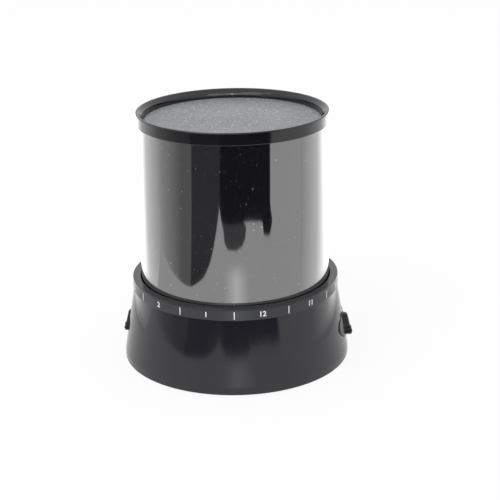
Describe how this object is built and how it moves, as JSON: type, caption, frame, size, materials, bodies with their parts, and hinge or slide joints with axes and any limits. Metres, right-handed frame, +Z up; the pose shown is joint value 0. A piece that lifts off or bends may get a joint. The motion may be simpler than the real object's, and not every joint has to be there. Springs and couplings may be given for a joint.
{
  "type": "planetarium projector",
  "caption": "Table-top star projector: conical base with push buttons, turning star dome and lift-off mirrored cover.",
  "frame": {"origin": "on the table, on the vertical axis of the base, cover and dome", "axes": "+Z up along the axis; front, where the ends of the month strip meet, at -Y; side buttons at -X and +X, third button at +Y"},
  "size_m": [0.1182, 0.116, 0.1274],
  "materials": {
    "black_gloss": "gloss",
    "black_plate": "satin",
    "strip_print": "satin",
    "smoked_mirror": "mirror gloss",
    "rim_black": "gloss",
    "disc_grey": "fine sparkle",
    "rubber_black": "matte",
    "dome_print": "clear gloss with star print",
    "ring_black": "satin",
    "button_black": "gloss",
    "steel": "satin",
    "spring_steel": "bright",
    "brass": "bright",
    "cell_jacket": "gloss",
    "board_green": "satin",
    "board_white": "satin",
    "chip_black": "matte",
    "ceramic_tan": "matte",
    "capacitor_sleeve": "gloss",
    "switch_grey": "satin",
    "plunger_white": "satin",
    "lamp_clear": "clear gloss",
    "lamp_red": "clear gloss",
    "lamp_green": "clear gloss",
    "lamp_blue": "clear gloss",
    "lead_red": "satin",
    "lead_grey": "satin"
  },
  "bodies": {
    "base": {"base_housing": "black_gloss", "deck": "ring_black", "dome_clips": "ring_black", "month_strip": "strip_print", "base_plate": "black_plate", "base_screws": "steel", "rubber_feet": "rubber_black", "battery_1": "cell_jacket", "battery_2": "cell_jacket", "battery_3": "cell_jacket", "positive_contacts": "steel", "negative_contacts": "steel", "contact_springs": "spring_steel", "main_board": "board_green", "board_screws": "steel", "driver_chip": "chip_black", "capacitor": "capacitor_sleeve", "resistors": "ceramic_tan", "light_turret": "ring_black", "turret_screws": "steel", "light_board": "board_white", "lamp_warm": "lamp_clear", "lamp_red": "lamp_red", "lamp_green": "lamp_green", "lamp_blue": "lamp_blue", "switch_left": "switch_grey", "switch_right": "switch_grey", "switch_rear": "switch_grey", "dc_jack": "chip_black", "dc_jack_pin": "brass", "battery_leads": "lead_red", "switch_leads": "lead_grey", "jack_leads": "lead_red", "lamp_leads": "lead_grey"},
    "cover": {"cover_shell": "smoked_mirror", "cover_rim": "rim_black", "cover_disc": "disc_grey"},
    "dome": {"dome_ring": "ring_black", "star_dome": "dome_print"},
    "left_button": {"button_left": "button_black", "plunger_left": "plunger_white"},
    "right_button": {"button_right": "button_black", "plunger_right": "plunger_white"},
    "rear_button": {"button_rear": "button_black", "plunger_rear": "plunger_white"},
    "door": {"battery_door": "black_plate", "door_screws": "steel"}
  },
  "joints": [
    {"name": "cover_lift", "type": "slide", "parent": "base", "child": "cover", "axis": [0, 0, 1], "range_m": [0, 0.1]},
    {"name": "dome_turn", "type": "hinge", "parent": "base", "child": "dome", "pos_m": [0, 0, 0.035], "axis": [0, 0, 1], "continuous": true},
    {"name": "left_button_push", "type": "slide", "parent": "base", "child": "left_button", "axis": [-1, 0, 0], "range_m": [0, 0.0012]},
    {"name": "right_button_push", "type": "slide", "parent": "base", "child": "right_button", "axis": [-1, 0, 0], "range_m": [0, 0.0012], "stiffness_N_per_m": 700, "springref_m": -0.0006},
    {"name": "rear_button_push", "type": "slide", "parent": "base", "child": "rear_button", "axis": [0, 1, 0], "range_m": [0, 0.0012]},
    {"name": "battery_door_off", "type": "slide", "parent": "base", "child": "door", "axis": [0, 0, -1], "range_m": [0, 0.02]}
  ]
}
